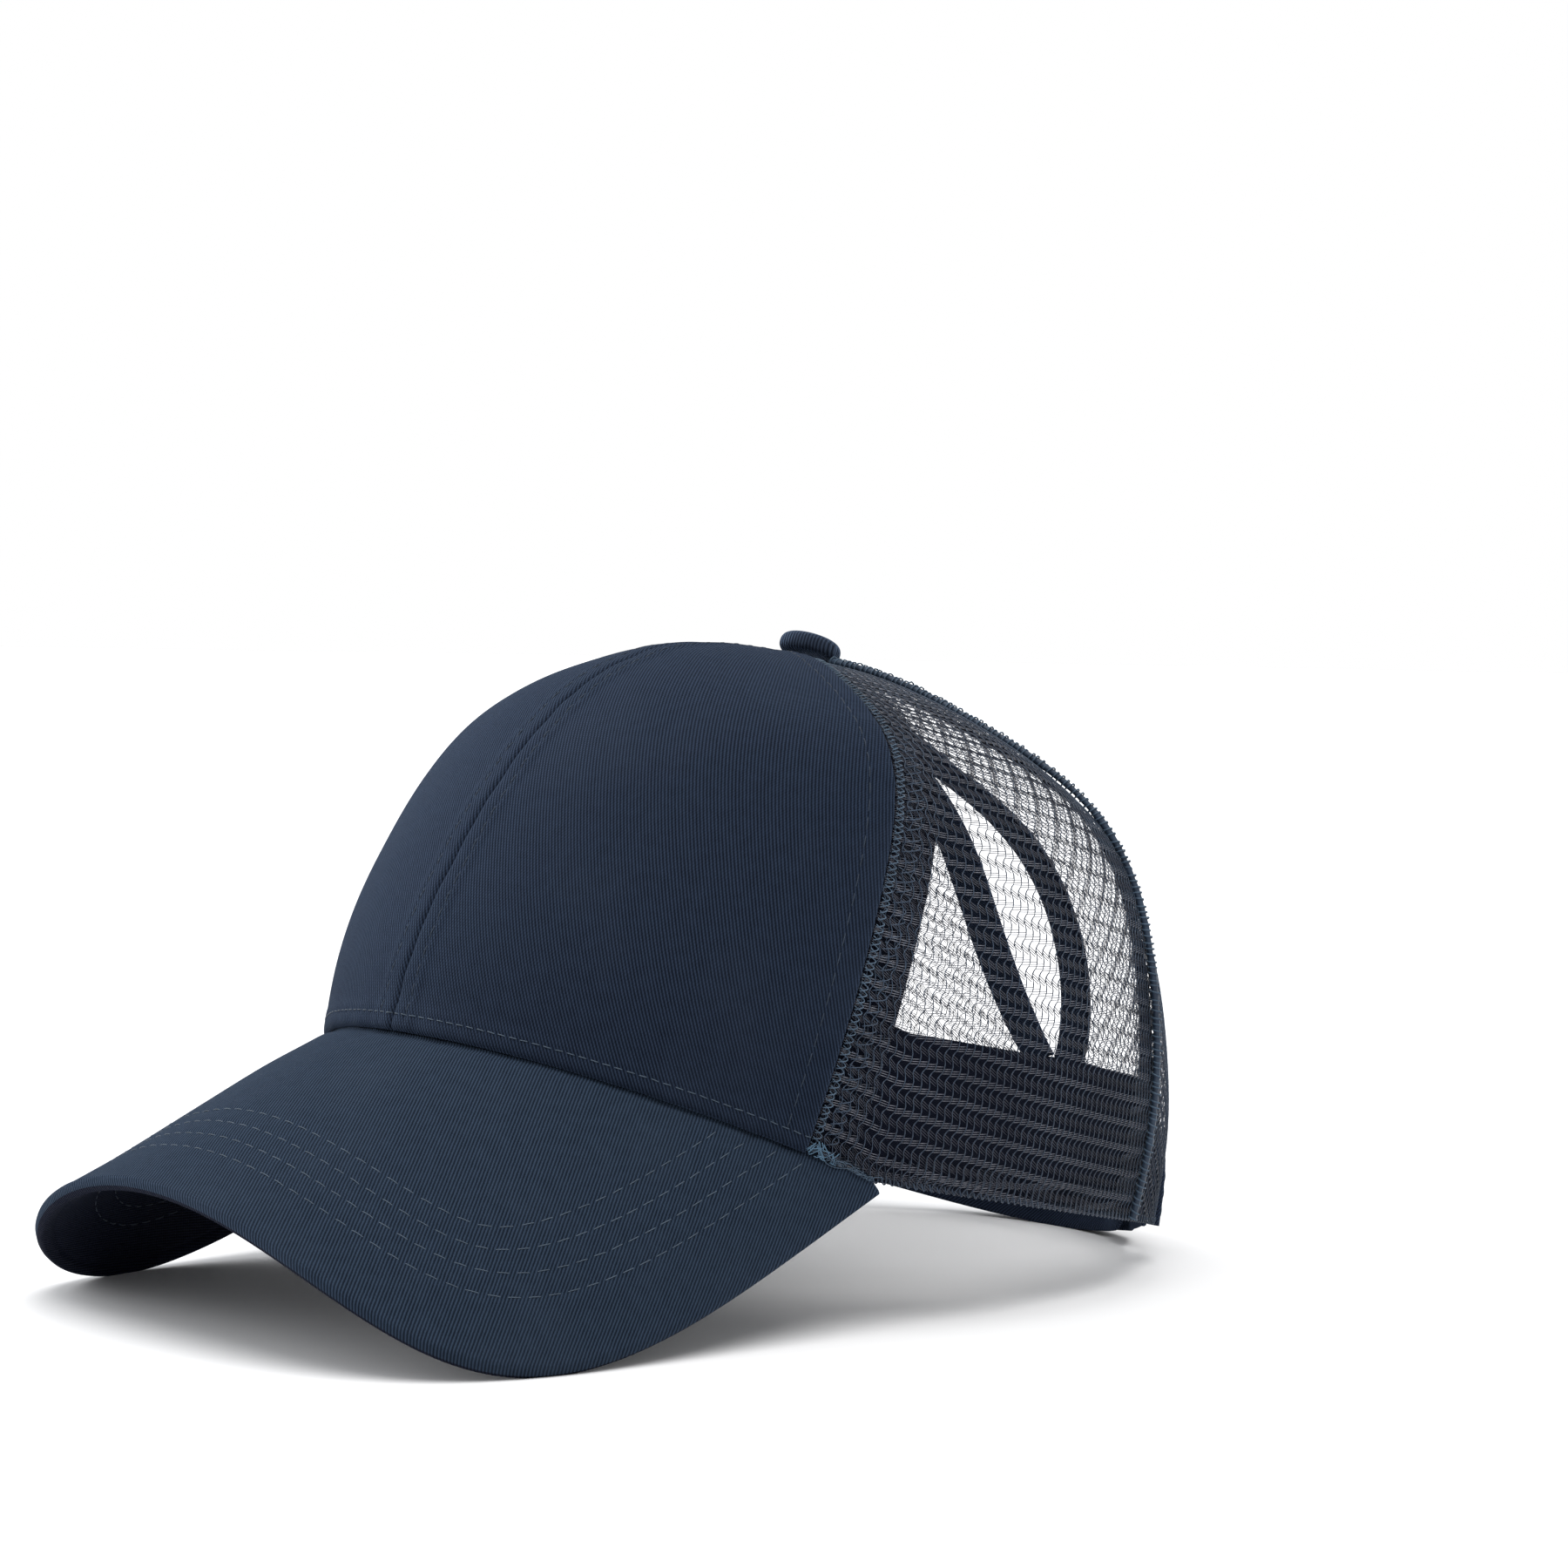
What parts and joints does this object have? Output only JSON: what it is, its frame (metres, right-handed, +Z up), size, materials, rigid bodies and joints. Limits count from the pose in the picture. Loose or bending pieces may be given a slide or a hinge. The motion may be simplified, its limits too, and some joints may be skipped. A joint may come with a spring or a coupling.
{
  "type": "ponytail baseball cap",
  "caption": "Baseball cap with a closed twill front, curved peak, net sides and back, a ponytail slit down the back and an adjustable strap.",
  "frame": {"origin": "centre of the bounding box at the surface that the cap rests on", "axes": "+Z up, the peak points to -Y, the strap and slit are at +Y, +X is the wearer's left"},
  "size_m": [0.1738, 0.2608, 0.1395],
  "materials": {
    "twill": "navy cotton twill, matt, fine diagonal ribs",
    "net": "navy knitted net, slightly shiny filaments",
    "tape": "navy folded twill tape, matt",
    "fastener": "black hook and loop pile"
  },
  "bodies": {
    "root": {"front_panel_left": "twill", "front_panel_right": "twill", "side_panel_left": "net", "side_panel_right": "net", "rear_panel_left": "net", "rear_panel_right": "net", "slit_binding_left": "tape", "slit_binding_right": "tape", "arch_binding": "tape", "sweatband": "tape", "peak": "twill", "button": "twill", "strap_left": "tape", "strap_right": "tape", "hook_pad": "fastener", "loop_pad": "fastener"}
  },
  "joints": []
}
